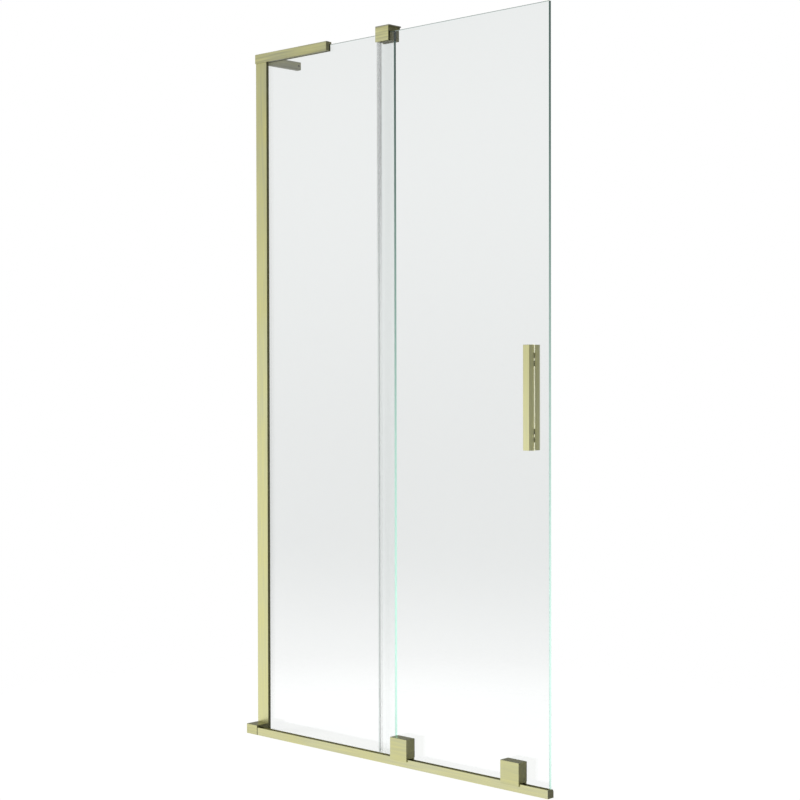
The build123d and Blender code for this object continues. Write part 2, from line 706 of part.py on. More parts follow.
def carriage(side, x):
    """One carriage block with everything that turns in it or clamps it on the glass."""
    low, high = x - half_carriage, x + half_carriage
    with BuildPart() as body:
        with BuildSketch(level(body_bottom)):
            span(low, high, carriage_front, carriage_back)
        extrude(amount=carriage_top - body_bottom)
        chamfer(body.edges().filter_by(Axis.Z).group_by(Axis.Y)[0], edge_round)
        with BuildSketch(upright(low)):
            span(apron_front, carriage_back, apron_bottom, body_bottom)
            span(
                slot_floor + edge_round,
                apron_front,
                tongue_middle - tongue_height / 2,
                tongue_middle + tongue_height / 2,
            )
        extrude(amount=carriage_width)
        with BuildSketch(facing(cavity_back)):
            span(x - cavity_half, x + cavity_half, body_bottom, cavity_top)
        extrude(amount=cavity_back - cavity_front, mode=Mode.SUBTRACT)
        with BuildSketch(facing(cavity_front)):
            disc(x, roller_z, axle_radius + thread_gap)
        extrude(amount=carriage_front_wall, mode=Mode.SUBTRACT)
        with BuildSketch(facing(carriage_front + axle_head_height + seat_gap)):
            disc(x, roller_z, axle_head_radius + seat_gap)
        extrude(amount=axle_head_height + seat_gap, mode=Mode.SUBTRACT)
        with BuildSketch(facing(cavity_back + axle_thread_length)):
            disc(x, roller_z, axle_thread_radius + thread_gap)
        extrude(amount=axle_thread_length, mode=Mode.SUBTRACT)
        with BuildSketch(facing(carriage_back)):
            disc(x, clamp_height, clamp_bolt_radius + thread_gap)
        extrude(amount=clamp_grip + seat_gap, mode=Mode.SUBTRACT)
        with BuildSketch(facing(carriage_front + peg_length + seat_gap)):
            peg_pattern(x, peg_radius + seat_gap)
        extrude(amount=peg_length + seat_gap, mode=Mode.SUBTRACT)
    save(body, f"{side}_carriage_body")

    with BuildPart() as cover:
        with BuildSketch(facing(carriage_front)):
            span(low, high, rail_height - carriage_lap, carriage_top)
        extrude(amount=carriage_cover)
        fillet(cover.edges().group_by(Axis.Y)[0], edge_round)
        with BuildSketch(facing(carriage_front + peg_length)):
            peg_pattern(x, peg_radius)
        extrude(amount=peg_length)
    save(cover, f"{side}_carriage_cover")

    with BuildPart() as axle:
        head_end = carriage_front + axle_head_height
        tip = cavity_back + axle_thread_length - seat_gap
        turned(
            x,
            roller_z,
            [
                (carriage_front + seat_gap, 0),
                (carriage_front + seat_gap, axle_head_radius),
                (head_end, axle_head_radius),
                (head_end, axle_radius),
                (cavity_back, axle_radius),
                (cavity_back, axle_thread_radius),
                (tip, axle_thread_radius),
                (tip, 0),
            ],
        )
    save(axle, f"{side}_axle")

    with BuildPart() as bush:
        bush_front, bush_back = cavity_front + slide_gap, cavity_back - slide_gap
        ring(x, roller_z, bush_front, bush_back, axle_radius + running_gap, bush_radius)
    save(bush, f"{side}_roller_bush")

    with BuildPart() as roller:
        inner = bush_radius + press_gap
        turned(
            x,
            roller_z,
            [
                (roller_front, inner),
                (roller_front, roller_radius - edge_round),
                (roller_front + edge_round, roller_radius),
                (roller_back - edge_round, roller_radius),
                (roller_back, roller_radius - edge_round),
                (roller_back, inner),
            ],
        )
        with BuildSketch(facing(roller_back)):
            with Locations((x, roller_z)):
                with PolarLocations((inner + roller_radius) / 2, roller_holes):
                    Circle(roller_hole_radius)
        extrude(amount=roller_back - roller_front, mode=Mode.SUBTRACT)
    save(roller, f"{side}_roller")

    with BuildPart() as pads:
        with BuildSketch(facing(sliding_front)):
            span(
                low + pad_inset,
                high - pad_inset,
                body_bottom + pad_inset,
                carriage_top - pad_inset,
            )
            disc(x, clamp_height, clamp_bolt_radius + shank_gap, Mode.SUBTRACT)
        extrude(amount=carriage_gasket)
        ring(
            x,
            clamp_height,
            sliding_back,
            sliding_back + clamp_pad,
            clamp_bolt_radius + shank_gap,
            clamp_radius,
        )
    save(pads, f"{side}_carriage_pads")

    clamp_front = sliding_back + clamp_pad
    clamp_back = clamp_front + clamp_thickness
    seat = clamp_back - clamp_head_height
    with BuildPart() as clamp:
        hole = clamp_bolt_radius + shank_gap
        recess = clamp_head_radius + shank_gap
        turned(
            x,
            clamp_height,
            [
                (clamp_front, hole),
                (clamp_front, clamp_radius),
                (clamp_back - edge_round, clamp_radius),
                (clamp_back, clamp_radius - edge_round),
                (clamp_back, recess),
                (seat, recess),
                (seat, hole),
            ],
        )
    save(clamp, f"{side}_clamp_disc")

    with BuildPart() as bolt:
        bolt_tip = carriage_back - clamp_grip
        turned(
            x,
            clamp_height,
            [
                (clamp_back, 0),
                (clamp_back, clamp_head_radius),
                (seat, clamp_head_radius),
                (seat, clamp_bolt_radius),
                (bolt_tip, clamp_bolt_radius),
                (bolt_tip, 0),
            ],
        )
        with BuildSketch(facing(clamp_back)):
            with Locations((x, clamp_height)):
                RegularPolygon(clamp_socket, 6)
        extrude(amount=clamp_socket_depth, mode=Mode.SUBTRACT)
    save(bolt, f"{side}_clamp_bolt")

    with BuildPart() as sleeve:
        ring(
            x,
            clamp_height,
            sliding_front + seat_gap,
            sliding_back - seat_gap,
            clamp_bolt_radius + shank_gap,
            clamp_glass_hole - shank_gap,
        )
    save(sleeve, f"{side}_clamp_sleeve")


for side, x in carriages.items():
    carriage(side, x)

# Handle: two bars back to back through the sliding pane
front_bar_back = sliding_front - handle_pad
rear_bar_front = sliding_back + handle_pad
rear_bar_back = rear_bar_front + handle_depth
handle_low = handle_middle - handle_length / 2
handle_high = handle_middle + handle_length / 2
handle_left = handle_x - handle_width / 2
handle_right = handle_x + handle_width / 2
handle_seat = rear_bar_back - handle_head_height - handle_head_sink
sleeve_radius = handle_glass_hole - shank_gap


def handle_holes(plane, radius, depth):
    """Pair of holes in a handle bar, from a plane towards the front."""
    with BuildSketch(plane) as pair:
        for z in handle_heights:
            disc(handle_x, z, radius)
    extrude(pair.sketch, amount=depth, mode=Mode.SUBTRACT)


with BuildPart() as handle_front_bar:
    with BuildSketch(facing(front_bar_back)):
        span(handle_left, handle_right, handle_low, handle_high)
    extrude(amount=handle_depth)
    fillet(handle_front_bar.edges(), edge_round)
    handle_holes(facing(front_bar_back), handle_screw_radius + thread_gap, handle_grip + blind_gap)
save(handle_front_bar, "handle_front_bar")

with BuildPart() as handle_rear_bar:
    with BuildSketch(facing(rear_bar_back)):
        span(handle_left, handle_right, handle_low, handle_high)
    extrude(amount=handle_depth)
    fillet(handle_rear_bar.edges(), edge_round)
    handle_holes(facing(rear_bar_back), handle_head_radius + seat_gap, rear_bar_back - handle_seat)
    handle_holes(facing(rear_bar_back), handle_screw_radius + shank_gap, handle_depth)
save(handle_rear_bar, "handle_rear_bar")

with BuildPart() as handle_pads:
    for y in (sliding_front, rear_bar_front):
        with BuildSketch(facing(y)):
            for z in handle_heights:
                with Locations((handle_x, z)):
                    SlotOverall(handle_pad_length, handle_pad_width, rotation=90)
                    Circle(handle_glass_hole, mode=Mode.SUBTRACT)
        extrude(amount=handle_pad)
save(handle_pads, "handle_pads")

with BuildPart() as handle_sleeves:
    for z in handle_heights:
        ring(
            handle_x,
            z,
            front_bar_back + seat_gap,
            rear_bar_front - seat_gap,
            handle_screw_radius + shank_gap,
            sleeve_radius,
        )
save(handle_sleeves, "handle_sleeves")

with BuildPart() as handle_screws:
    head_top = handle_seat + handle_head_height
    screw_tip = front_bar_back - handle_grip
    for z in handle_heights:
        turned(
            handle_x,
            z,
            [
                (head_top, 0),
                (head_top, handle_head_radius),
                (handle_seat, handle_head_radius),
                (handle_seat, handle_screw_radius),
                (screw_tip, handle_screw_radius),
                (screw_tip, 0),
            ],
        )
    with BuildSketch(facing(head_top)):
        for z in handle_heights:
            with Locations((handle_x, z)):
                RegularPolygon(handle_socket, 6)
    extrude(amount=handle_socket_depth, mode=Mode.SUBTRACT)
save(handle_screws, "handle_screws")
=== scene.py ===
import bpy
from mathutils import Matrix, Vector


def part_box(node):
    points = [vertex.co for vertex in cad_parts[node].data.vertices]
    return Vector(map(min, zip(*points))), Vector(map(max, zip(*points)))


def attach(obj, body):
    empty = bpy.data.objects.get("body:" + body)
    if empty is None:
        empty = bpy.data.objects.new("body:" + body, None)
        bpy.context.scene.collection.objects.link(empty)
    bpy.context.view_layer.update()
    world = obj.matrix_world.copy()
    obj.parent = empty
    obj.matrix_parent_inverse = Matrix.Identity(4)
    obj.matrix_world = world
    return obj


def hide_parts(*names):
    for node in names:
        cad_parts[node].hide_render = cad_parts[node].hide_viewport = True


bl_info = {
    "name": "Sliding bath screen",
    "version": (1, 0, 0),
    "blender": (4, 5, 0),
    "location": "3D View > Sidebar > Bath Screen",
    "description": "Finishes, glass, seals and studio for a sliding bath screen",
    "category": "Object",
}

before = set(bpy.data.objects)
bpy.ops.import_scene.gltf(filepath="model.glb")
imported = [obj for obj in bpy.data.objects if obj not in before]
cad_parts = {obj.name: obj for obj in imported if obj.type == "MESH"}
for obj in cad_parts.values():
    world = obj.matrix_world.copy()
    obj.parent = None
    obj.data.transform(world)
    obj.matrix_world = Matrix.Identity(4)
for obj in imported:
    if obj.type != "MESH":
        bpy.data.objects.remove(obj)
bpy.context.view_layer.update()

import math

import bpy
import numpy as np
from bpy.props import FloatProperty, FloatVectorProperty, PointerProperty
from mathutils import Matrix, Vector
from mathutils.geometry import tessellate_polygon

MM = 0.001

# holes in the sliding pane, in millimetres
CLAMP_PLACES = (465.9, 758.7)
CLAMP_HEIGHT = 41.0
CLAMP_HOLE = 7.0
HANDLE_PLACE = 791.2
HANDLE_HEIGHTS = (676.6, 820.6)
HANDLE_HOLE = 5.0


# ---- sizes and colours a user would change ----

def colour(name, description, default):
    """A colour setting, written in linear light."""
    return FloatVectorProperty(
        name=name, description=description, default=default, size=3, min=0.0, max=1.0, subtype="COLOR"
    )


def length(name, description, default):
    """A size setting in metres."""
    return FloatProperty(
        name=name, description=description, default=default, min=0.0, subtype="DISTANCE", unit="LENGTH"
    )


def share(name, description, default):
    """A setting from 0 to 1."""
    return FloatProperty(
        name=name, description=description, default=default, min=0.0, max=1.0, subtype="FACTOR"
    )


class MetalSettings(bpy.types.PropertyGroup):
    """Colours and brushing of the metal."""

    gold: colour("Gold", "Colour of the brushed gold extrusions and blocks", (0.625, 0.615, 0.325))
    steel: colour("Steel", "Colour of screws, axles and anchor", (0.420, 0.410, 0.385))
    gloss: share("Roughness", "Middle roughness of the brushed metal", 0.34)
    streak_length: length("Streak length", "Length of a brush streak", 0.060)
    streak_width: length("Streak width", "Width of a brush streak", 0.0011)
    band_width: length("Band width", "Width of the broader bands between streaks", 0.0045)
    contrast: share("Streak contrast", "How much the fine streaks differ in colour", 0.20)
    band_contrast: share("Band contrast", "How much the broader bands differ in colour", 0.40)
    hue_shift: FloatProperty(name="Hue shift", description="How far bands turn warmer or cooler", default=1.6)
    lacquer: share("Lacquer", "Weight of the clear lacquer over the brushing", 0.30)
    relief: length("Streak relief", "Depth of the brushing", 0.000012)


class GlassSettings(bpy.types.PropertyGroup):
    """Colours and edges of both panes."""

    clear: colour("Clear glass", "What the pane lets through above its foot", (0.900, 0.920, 0.915))
    # the foot tint is painted light: the pane drawn clearer just above the rail for the brighter reflection
    # there
    foot: colour("Clear glass, foot", "What the pane lets through just above the rail", (0.962, 0.975, 0.972))
    rim: colour("Glass by its edge", "What the pane lets through close to an edge", (0.850, 0.915, 0.895))
    exit: colour("Edge from inside", "What an upright edge lets out of the pane", (0.930, 0.950, 0.945))
    # the top edge's share is dark grey-green: painted shade standing in for the reflection inside the pane at
    # its top edge
    top_exit_shade: colour("Top edge from inside", "What the top edge lets out of the pane", (0.420, 0.450, 0.440))
    rim_width: length("Edge tint width", "How far the edge tint reaches into the pane", 0.004)
    # the edge colours low and high are painted light and shade: bright mint near the rail, dark green near the
    # top
    edge_low: colour("Free edge, low", "Polished edge of the sliding pane near the rail", (0.480, 0.680, 0.610))
    edge_high: colour("Free edge, high", "The same near the top", (0.085, 0.145, 0.125))
    covered_low: colour("Covered edge, low", "Edge of the fixed pane near the rail", (0.550, 0.930, 0.780))
    covered_high: colour("Covered edge, high", "The same near the top", (0.030, 0.095, 0.075))
    arris: length("Arris", "Ground corner of the edge", 0.0005)
    corner: length("Corner radius", "Rounding of the pane's corners", 0.0010)


class SealSettings(bpy.types.PropertyGroup):
    """Colours and lips of the seals and gaskets."""

    clear: colour("Clear seal", "Translucent seal profile", (0.400, 0.405, 0.405))
    # the seals' shares by height are painted light and shade: the body drawn denser and its fin, front and
    # leaves clearer low down
    body: share("Seal body, high", "How much of the light a wall of clear seal stops near the top", 0.31)
    low: share("Seal body, low", "The same lower down", 0.62)
    foot: share("Foot seals", "How much of the light the seals under the panes stop", 0.03)
    fin: share("Seal fin, high", "How much of that its thin fin keeps near the top", 0.75)
    fin_low: share("Seal fin, low", "The same lower down", 0.10)
    front: share("Seal front, low", "How much of it the front keeps lower down", 0.10)
    leaf: share("Seal leaves, low", "How much of it the leaves on the glass keep lower down", 0.25)
    # its pale colour is painted reflection: the bright slit between the handle's bars
    tape: colour("Handle tape", "Pale tape between the handle and the glass", (0.900, 0.900, 0.700))
    # the olive is lifted lighter to offset the shade at the fixings: partly the pads' own colour, partly
    # painted light
    pad: colour("Handle pads", "Olive rubber of the handle's pads", (0.540, 0.530, 0.370))
    rubber: colour("Rubber", "Gaskets and pads", (0.040, 0.040, 0.038))
    nylon: colour("Nylon", "Rollers, sleeves and stops", (0.050, 0.050, 0.047))
    liner: colour("Liner", "Liner of the guide block", (0.170, 0.165, 0.090))
    rounding: length("Rounding", "Rounding of the soft profiles", 0.0003)


class StageSettings(bpy.types.PropertyGroup):
    """Camera, lamps, backdrop and floor."""

    eye: FloatVectorProperty(
        name="Camera place", description="Where the camera stands", default=(2.80932, -2.48811, 0.79505),
        size=3, subtype="XYZ", unit="LENGTH",
    )
    heading: FloatProperty(
        name="Heading", description="Camera's turn from looking along +Y to looking along -X",
        default=math.radians(43.69), subtype="ANGLE",
    )
    pitch: FloatProperty(
        name="Pitch", description="How far the camera looks down", default=math.radians(0.91), subtype="ANGLE"
    )
    roll: FloatProperty(name="Roll", description="Camera's roll", default=math.radians(-0.11), subtype="ANGLE")
    focal: FloatProperty(
        name="Lens", description="Focal length on a 36 mm sensor", default=75.66, min=1.0,
        subtype="DISTANCE_CAMERA",
    )
    studio_low: FloatProperty(
        name="Studio, low", description="Light from the front left, low down", default=1.18, min=0.0
    )
    studio_high: FloatProperty(
        name="Studio, high", description="Light from the front left, high up", default=0.42, min=0.0
    )
    studio_dark: FloatProperty(
        name="Studio, dark side", description="Light from the back right", default=0.19, min=0.0
    )
    key_power: FloatProperty(
        name="Key lamp", description="Power of the lamp at the front left", default=150.0, min=0.0, unit="POWER"
    )
    fill_power: FloatProperty(
        name="Fill lamp", description="Power of the lamp at the right", default=42.0, min=0.0, unit="POWER"
    )
    floor_radius: length("Floor radius", "Radius of the round floor", 1.4)
    floor_white: colour("Floor", "Colour of the floor", (0.90, 0.90, 0.90))
    floor_glow: share("Floor backdrop", "Share of the floor's white that no shadow dims", 0.92)


# ---- shader maths ----

class Channel:
    """One output of a shader node. Arithmetic on it adds Math nodes."""

    def __init__(self, shader, socket):
        self.shader = shader
        self.socket = socket

    def math(self, operation, *others, clamp=False):
        """A Math node on this output and others."""
        inputs = dict(enumerate((self, *others)))
        return self.shader.add("ShaderNodeMath", {"operation": operation, "use_clamp": clamp}, inputs)[0]

    def __add__(self, other):
        return self.math("ADD", other)

    __radd__ = __add__

    def __sub__(self, other):
        return self.math("SUBTRACT", other)

    def __rsub__(self, other):
        return (self * -1.0) + other

    def __mul__(self, other):
        return self.math("MULTIPLY", other)

    __rmul__ = __mul__

    def __truediv__(self, other):
        return self.math("DIVIDE", other)

    def smooth(self, low, high, start=0.0, end=1.0):
        """Smooth step from start at low to end at high."""
        settings = {"interpolation_type": "SMOOTHSTEP"}
        return self.shader.add("ShaderNodeMapRange", settings, {0: self, 1: low, 2: high, 3: start, 4: end})[0]


class Outputs:
    """The outputs of a node, by place or by name."""

    def __init__(self, shader, node):
        self.shader = shader
        self.node = node

    def __getitem__(self, key):
        return Channel(self.shader, self.node.outputs[key])


class Shader:
    """Fills the node tree of a material or a world."""

    def __init__(self, owner):
        owner.use_nodes = True
        self.tree = owner.node_tree
        self.tree.nodes.clear()

    def add(self, kind, settings, inputs):
        """A node of any kind: its settings first, then the values or links of its sockets."""
        node = self.tree.nodes.new(kind)
        for name, value in settings.items():
            setattr(node, name, value)
        for key, value in inputs.items():
            if isinstance(value, Channel):
                self.tree.links.new(value.socket, node.inputs[key])
            else:
                node.inputs[key].default_value = value
        return Outputs(self, node)

    def place(self):
        """The piece's own coordinates, in metres."""
        return self.add("ShaderNodeTexCoord", {}, {})["Object"]

    def split(self, vector):
        """X, Y and Z of a vector."""
        parts = self.add("ShaderNodeSeparateXYZ", {}, {0: vector})
        return parts[0], parts[1], parts[2]

    def stretched(self, vector, scale):
        """A vector times a size for each axis."""
        return self.add("ShaderNodeVectorMath", {"operation": "MULTIPLY"}, {0: vector, 1: scale})[0]

    def noise(self, vector, scale, detail=2.0, roughness=0.5):
        """Noise from 0 to 1."""
        inputs = {"Vector": vector, "Scale": scale, "Detail": detail, "Roughness": roughness}
        return self.add("ShaderNodeTexNoise", {}, inputs)["Fac"]

    def blend(self, factor, first, second):
        """Mix of two colours."""
        return self.add(
            "ShaderNodeMix", {"data_type": "RGBA"}, {0: factor, 6: rgba(first), 7: rgba(second)}
        )[2]

    def tinted(self, tint, amount):
        """A colour made lighter or darker by an amount about 1."""
        grey = self.add("ShaderNodeCombineColor", {}, {0: amount, 1: amount, 2: amount})[0]
        return self.add(
            "ShaderNodeMix", {"data_type": "RGBA", "blend_type": "MULTIPLY"}, {0: 1.0, 6: rgba(tint), 7: grey}
        )[2]

    def backdrop(self, level):
        """A grey backdrop of a level that varies."""
        grey = self.add("ShaderNodeCombineColor", {}, {0: level, 1: level, 2: level})[0]
        return self.add("ShaderNodeBackground", {}, {"Color": grey, "Strength": 1.0})[0]

    def bump(self, height, distance):
        """Normal from a height in units of a distance."""
        return self.add("ShaderNodeBump", {}, {"Strength": 1.0, "Distance": distance, "Height": height})[0]

    def surface(self, shade):
        """Connects a shader to the output."""
        self.add("ShaderNodeOutputMaterial", {}, {"Surface": shade})

    def principled(self, inputs):
        """A Principled shader on the output."""
        self.surface(self.add("ShaderNodeBsdfPrincipled", {}, inputs)[0])


def rgba(value):
    """A colour with its alpha, or a link as it is."""
    return value if isinstance(value, Channel) else (*value, 1.0)


# ---- finishes ----

# shares of a metal's colour in its cooler and its warmer bands
COOL = (0.985, 1.000, 1.120)
WARM = (1.015, 1.000, 0.880)
# detail and roughness of the noise that makes the fine streaks
STREAK_NOISE = (5.0, 0.72)
# patches in a metre of the faint cloudiness on metal, and how much they change the colour
CLOUD_SCALE = 9.0
CLOUD_DEPTH = 0.06
# how far streaks, bands and cloudiness move the roughness of metal
GLOSS_SPREAD = (0.20, 0.10, 0.08)
# colour shares between which the lacquer fades out where painted shade darkens the metal
LACQUER_FADE = (0.4, 0.9)
# heights between which a pane goes from its paler foot tint to its own; the paler foot is painted light for the
# brighter reflection low down
FOOT_LIGHT_RISE = (0.09, 0.45)
# share of a pane's height at which an edge's painted shade is as deep as at the top
EDGE_SHADE_AT = 0.98
# share of its colour that a glass edge keeps inside the block that clamps it: painted shade of the block
CLAMPED_SHADE = 0.25
# heights between which a clear seal goes from its low to its high look: painted light and shade that change the
# seal's opacity with height
SEAL_LIGHT_RISE = (0.85, 1.45)
# places along Y between which the seal's clearer front ends; that front is clearer only low down, which is
# painted light
SEAL_FRONT = (-11.5 * MM, -9.5 * MM)
# grains in a metre of moulded rubber and plastic
MOULD_GRAIN = 420.0


def shared(tint, shares):
    """A colour with a share of each of its parts."""
    return [part * k for part, k in zip(tint, shares)]


def brushed(name, tint, grain, settings, depth=1.0, painted_shades=()):
    """Brushed metal: fine streaks and broader bands of noise, drawn out along one axis. The depth
    scales their contrast. A painted shade is an axis, two places along it and the share of the colour at each:
    painted shade darkens undersides, dark flanks and shadow gaps, painted light lightens a few flanks."""
    material = bpy.data.materials.new(name)
    shader = Shader(material)
    place = shader.place()
    along = 1.0 / settings.streak_length
    fine_scale = [along if axis == grain else 1.0 / settings.streak_width for axis in range(3)]
    fine = shader.noise(shader.stretched(place, fine_scale), 1.0, *STREAK_NOISE)
    band_scale = [0.5 * along if axis == grain else 1.0 / settings.band_width for axis in range(3)]
    band = shader.noise(shader.stretched(place, band_scale), 1.0)
    cloud = shader.noise(place, CLOUD_SCALE)
    streaks = (fine - 0.5) * (depth * settings.contrast)
    bands = (band - 0.5) * (depth * settings.band_contrast)
    amount = streaks + bands + (cloud - 0.5) * CLOUD_DEPTH + 1.0
    lacquer = settings.lacquer
    # painted shade and painted light: the colour and the lacquer change by place
    for axis, start, stop, first, last in painted_shades:
        shade = shader.split(place)[axis].smooth(start, stop, first, last)
        amount, lacquer = amount * shade, shade.smooth(*LACQUER_FADE) * lacquer
    warm = (band - 0.5) * settings.hue_shift + (cloud - 0.5) * settings.hue_shift + 0.5
    tint = shader.blend(warm, shared(tint, COOL), shared(tint, WARM))
    by_streak, by_band, by_cloud = GLOSS_SPREAD
    gloss = (fine - 0.5) * by_streak + (band - 0.5) * by_band + (cloud - 0.5) * by_cloud + settings.gloss
    shader.principled({
        "Base Color": shader.tinted(tint, amount),
        "Metallic": 1.0,
        "Roughness": gloss,
        "Coat Weight": lacquer,
        "Coat Roughness": 0.25,
        "Normal": shader.bump(fine, settings.relief),
    })
    return material


def clear_glass(name, low, high, settings):
    """Clear pane: slightly greener by its edges, clearer towards its foot, where painted light stands for the
    brighter reflection low down, with faint wiping marks in its gloss."""
    material = bpy.data.materials.new(name)
    shader = Shader(material)
    place = shader.place()
    x, _, z = shader.split(place)
    width = settings.rim_width
    rims = [
        (x - low.x).smooth(0.0, width, 1.0, 0.0), (high.x - x).smooth(0.0, width, 1.0, 0.0),
        (z - low.z).smooth(0.0, width, 1.0, 0.0), (high.z - z).smooth(0.0, width, 1.0, 0.0),
    ]
    near = rims[0].math("MAXIMUM", rims[1]).math("MAXIMUM", rims[2]).math("MAXIMUM", rims[3])
    marks = shader.noise(shader.stretched(place, (3.0, 3.0, 1.2)), 1.0, 3.0)
    # painted light: paler towards the foot
    tint = shader.blend(z.smooth(*FOOT_LIGHT_RISE), settings.foot, settings.clear)
    tint = shader.tinted(tint, marks.smooth(0.3, 0.7, 0.995, 1.0))
    shader.principled({
        "Base Color": shader.blend(near, tint, settings.rim),
        "Roughness": marks.smooth(0.45, 0.8, 0.0, 0.006),
        "IOR": 1.5,
        "Transmission Weight": 1.0,
    })
    return material


def glass_edge(name, low, high, tints, start, clamped, leaves):
    """Polished edge of a pane: green, with fine grinding lines. Painted light and shade make it bright low
    down and a deeper, darker green from a start height towards the top; painted shade darkens it above the
    height where a block clamps it, if one does. From inside the pane it is clear and lets a share of the light
    out."""
    material = bpy.data.materials.new(name)
    shader = Shader(material)
    place = shader.place()
    _, _, z = shader.split(place)
    rise = (z - low.z) / (high.z - low.z)
    # painted light and shade: bright low down, dark green towards the top
    green = shader.blend(rise.smooth(start, EDGE_SHADE_AT), *tints)
    # painted shade inside the clamping block
    if clamped is not None:
        green = shader.tinted(green, z.smooth(clamped, clamped + 0.5 * MM, 1.0, CLAMPED_SHADE))
    lines = shader.noise(place, 900.0)
    ground = shader.add("ShaderNodeBsdfPrincipled", {}, {
        "Base Color": green,
        "Roughness": (lines - 0.5) * 0.10 + 0.18,
        "Normal": shader.bump(lines, 0.000004),
    })[0]
    # for the top edge the leaves colour is dark: painted shade for the reflection inside the pane
    clear = shader.add("ShaderNodeBsdfTransparent", {}, {"Color": rgba(leaves)})[0]
    inside = shader.add("ShaderNodeNewGeometry", {}, {})["Backfacing"]
    shader.surface(shader.add("ShaderNodeMixShader", {}, {0: inside, 1: ground, 2: clear})[0])
    return material


def clear_seal(name, settings, stops, fin_start, leaf_start):
    """Translucent extruded seal with a faint drawn texture. It stops a share of the light low down and
    another high up, and less in front, beyond the start of its fin along Y and of its leaves along X;
    these shares change with height as painted light and shade."""
    material = bpy.data.materials.new(name)
    shader = Shader(material)
    place = shader.place()
    drawn = shader.noise(shader.stretched(place, (700.0, 700.0, 12.0)), 1.0)
    cloud = shader.noise(place, 14.0)
    x, y, z = shader.split(place)
    # painted light and shade by height
    body = z.smooth(*SEAL_LIGHT_RISE, *stops)
    fin = z.smooth(*SEAL_LIGHT_RISE, settings.fin_low, settings.fin)
    front = z.smooth(*SEAL_LIGHT_RISE, settings.front, 1.0)
    leaf = z.smooth(*SEAL_LIGHT_RISE, settings.leaf, 1.0)
    thin = y.smooth(fin_start, fin_start + 1.5 * MM, 1.0, fin) * y.smooth(*SEAL_FRONT, front, 1.0)
    thin = thin * x.smooth(leaf_start, leaf_start + 1.0 * MM, 1.0, leaf)
    shader.principled({
        "Base Color": shader.tinted(settings.clear, (drawn - 0.5) * 0.08 + (cloud - 0.5) * 0.05 + 1.0),
        "Roughness": (drawn - 0.5) * 0.12 + 0.30,
        "Alpha": ((drawn - 0.5) * 0.24 + (cloud - 0.5) * 0.20 + 1.0) * body * thin,
    })
    return material


def moulded(name, tint, gloss):
    """Moulded rubber or plastic: fine matt grain and a little cloudiness."""
    material = bpy.data.materials.new(name)
    shader = Shader(material)
    place = shader.place()
    grain = shader.noise(place, MOULD_GRAIN, 3.0, 0.6)
    cloud = shader.noise(place, 25.0)
    shader.principled({
        "Base Color": shader.tinted(tint, (grain - 0.5) * 0.25 + (cloud - 0.5) * 0.15 + 1.0),
        "Roughness": (grain - 0.5) * 0.20 + gloss,
        "Normal": shader.bump(grain, 0.00003),
    })
    return material


def dress(node, material):
    """Gives a carried-over node its finish."""
    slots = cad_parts[node].data.materials
    slots.clear()
    slots.append(material)


# ---- shapes ----

def rounded_loop(x0, x1, z0, z1, radius, steps=4):
    """Rectangle whose corners are quarter circles: centre of each corner plus radius times
    (cos, sin) of an angle that grows by a quarter turn from corner to corner."""
    angles = np.linspace(0.0, np.pi / 2, steps)
    corners = [(x1 - radius, z1 - radius), (x0 + radius, z1 - radius),
               (x0 + radius, z0 + radius), (x1 - radius, z0 + radius)]
    parts = []
    for turn, (cx, cz) in enumerate(corners):
        a = angles + turn * np.pi / 2
        parts.append(np.stack([cx + radius * np.cos(a), cz + radius * np.sin(a)], axis=1))
    return np.concatenate(parts)


def ring_loop(x, z, radius, steps=48):
    """Circle: centre plus radius times (cos, sin) of evenly spaced angles."""
    a = np.linspace(0.0, 2 * np.pi, steps, endpoint=False)
    return np.stack([x + radius * np.cos(a), z + radius * np.sin(a)], axis=1)


def grid_faces(rows, columns, first, flip):
    """Quads between neighbouring rows of a grid whose columns close on themselves."""
    r, c = np.meshgrid(np.arange(rows - 1), np.arange(columns), indexing="ij")
    n = (c + 1) % columns
    near, far = r * columns, (r + 1) * columns
    quads = np.stack([near + c, near + n, far + n, far + c], axis=-1).reshape(-1, 4) + first
    return quads[:, ::-1] if flip else quads


# faces that meet flatter than this many degrees shade as one
SMOOTH_ANGLE = 30.0


def make_piece(name, points, faces, body, materials, face_slots=None):
    """A mesh piece that rides a body."""
    mesh = bpy.data.meshes.new(name)
    mesh.from_pydata(np.asarray(points, float).tolist(), [], [list(map(int, f)) for f in faces])
    for material in materials:
        mesh.materials.append(material)
    if face_slots is not None:
        mesh.polygons.foreach_set("material_index", np.asarray(face_slots, np.int32))
    mesh.polygons.foreach_set("use_smooth", np.ones(len(mesh.polygons), bool))
    mesh.set_sharp_from_angle(angle=math.radians(SMOOTH_ANGLE))
    mesh.validate()
    mesh.update()
    piece = bpy.data.objects.new(name, mesh)
    bpy.context.scene.collection.objects.link(piece)
    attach(piece, body)
    return piece


